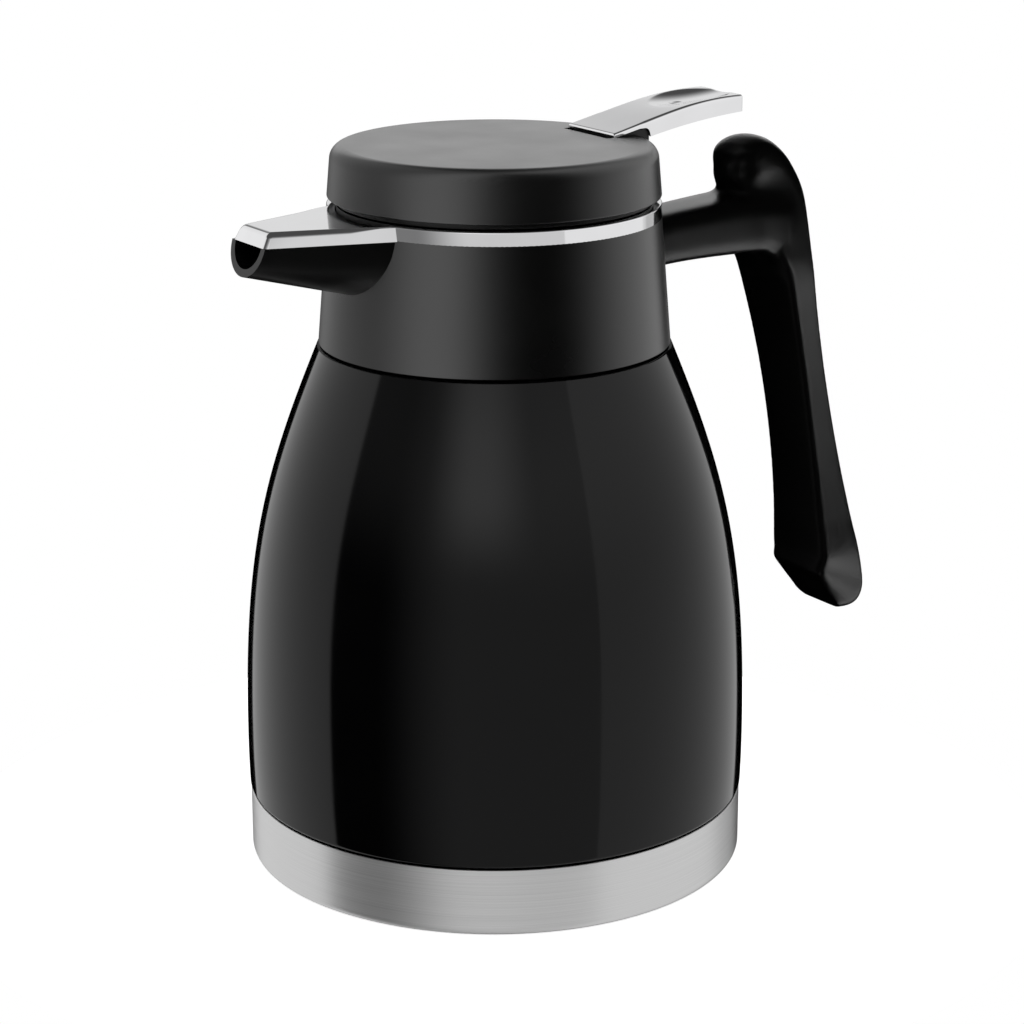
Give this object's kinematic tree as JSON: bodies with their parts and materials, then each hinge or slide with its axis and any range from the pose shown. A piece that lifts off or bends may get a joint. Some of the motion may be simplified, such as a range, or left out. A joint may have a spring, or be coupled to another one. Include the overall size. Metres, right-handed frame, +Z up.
{
  "type": "thermal carafe with press-lever lid",
  "caption": "Vacuum carafe with a brushed base cup, a chrome-topped spout, a rear handle and a lift-out stopper lid whose thumb lever opens the pouring valve.",
  "frame": {"origin": "centre of the round underside, on the surface that the carafe stands on", "axes": "+Z up along the body's axis; the spout points to -X, and the handle and the thumb lever point to +X"},
  "size_m": [0.2043, 0.1416, 0.2112],
  "materials": {
    "body_paint": "gloss",
    "base_steel": "brushed around the axis",
    "chrome": "bright",
    "inner_steel": "satin",
    "collar_plastic": "fine satin",
    "lid_plastic": "fine matte",
    "handle_plastic": "satin",
    "lever_plastic": "satin",
    "stopper_plastic": "satin",
    "silicone": "soft matte",
    "foot_rubber": "matte",
    "fastener_steel": "bright"
  },
  "bodies": {
    "carafe": {"base_foot": "foot_rubber", "base_cup": "base_steel", "outer_body": "body_paint", "body_neck": "body_paint", "bottom_plate": "inner_steel", "evacuation_plug": "fastener_steel", "getter_capsule": "fastener_steel", "flask_floor": "inner_steel", "inner_flask": "inner_steel", "flask_neck": "inner_steel", "neck_gasket": "silicone", "collar": "collar_plastic", "pouring_sleeve": "collar_plastic", "trim_ring": "chrome", "handle": "handle_plastic", "handle_screws": "fastener_steel"},
    "lid": {"lid_cover": "lid_plastic", "stopper_body": "stopper_plastic", "stopper_base": "stopper_plastic", "stopper_gasket": "silicone", "upper_gasket": "silicone", "lid_screws": "fastener_steel", "hinge_pin": "fastener_steel", "valve_spring": "fastener_steel"},
    "lever": {"lever_core": "lever_plastic", "lever_cover": "chrome"},
    "valve": {"valve_plunger": "stopper_plastic", "valve_seal": "silicone", "stem_cap": "stopper_plastic"}
  },
  "joints": [
    {"name": "lid_lift", "type": "slide", "parent": "carafe", "child": "lid", "axis": [0, 0, 1], "range_m": [0, 0.07]},
    {"name": "lever_press", "type": "hinge", "parent": "lid", "child": "lever", "pos_m": [0.037, 0, 0.197], "axis": [0, 1, 0], "range_deg": [0, 9.5], "stiffness_Nm_per_rad": 0.67, "springref_deg": -18.91},
    {"name": "valve_lift", "type": "slide", "parent": "lid", "child": "valve", "axis": [0, 0, 1], "range_m": [0, 0.0062], "deforming": ["valve_spring"]}
  ],
  "couplings": [
    {"joint": "valve_lift", "follows": "lever_press", "m_per_rad": 0.037}
  ]
}
